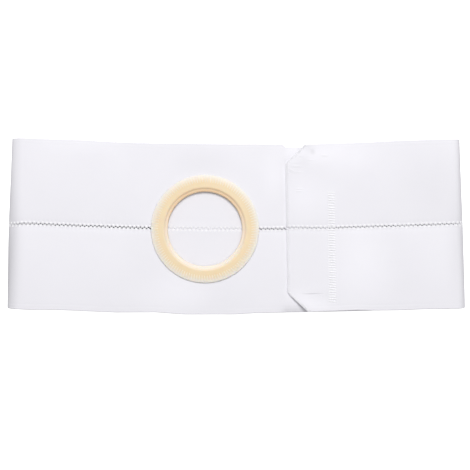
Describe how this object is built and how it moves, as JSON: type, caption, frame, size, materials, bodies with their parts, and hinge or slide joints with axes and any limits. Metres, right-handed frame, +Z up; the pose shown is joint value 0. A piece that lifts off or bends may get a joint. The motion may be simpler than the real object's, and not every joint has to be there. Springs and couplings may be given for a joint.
{
  "type": "ostomy support belt",
  "caption": "Wide elastic waist belt with a sewn-in ring for an ostomy pouch, closed by a hook tab and lying flat as a loop.",
  "frame": {"origin": "middle of the belt's outline seen from above, on the surface that the belt lies on", "axes": "+X along the belt, from the left fold towards the fold beside the tab; +Y across it, from the lower strip to the upper one; +Z up, out of the front panel"},
  "size_m": [0.4114, 0.1564, 0.022],
  "materials": {
    "webbing": "white knitted elastic webbing, matt",
    "ring": "cream flexible plastic, satin",
    "hook": "white hook strip, matt"
  },
  "bodies": {
    "root": {"upper_band": "webbing", "lower_band": "webbing", "belt_ring": "ring", "hook_pad": "hook"}
  },
  "joints": []
}
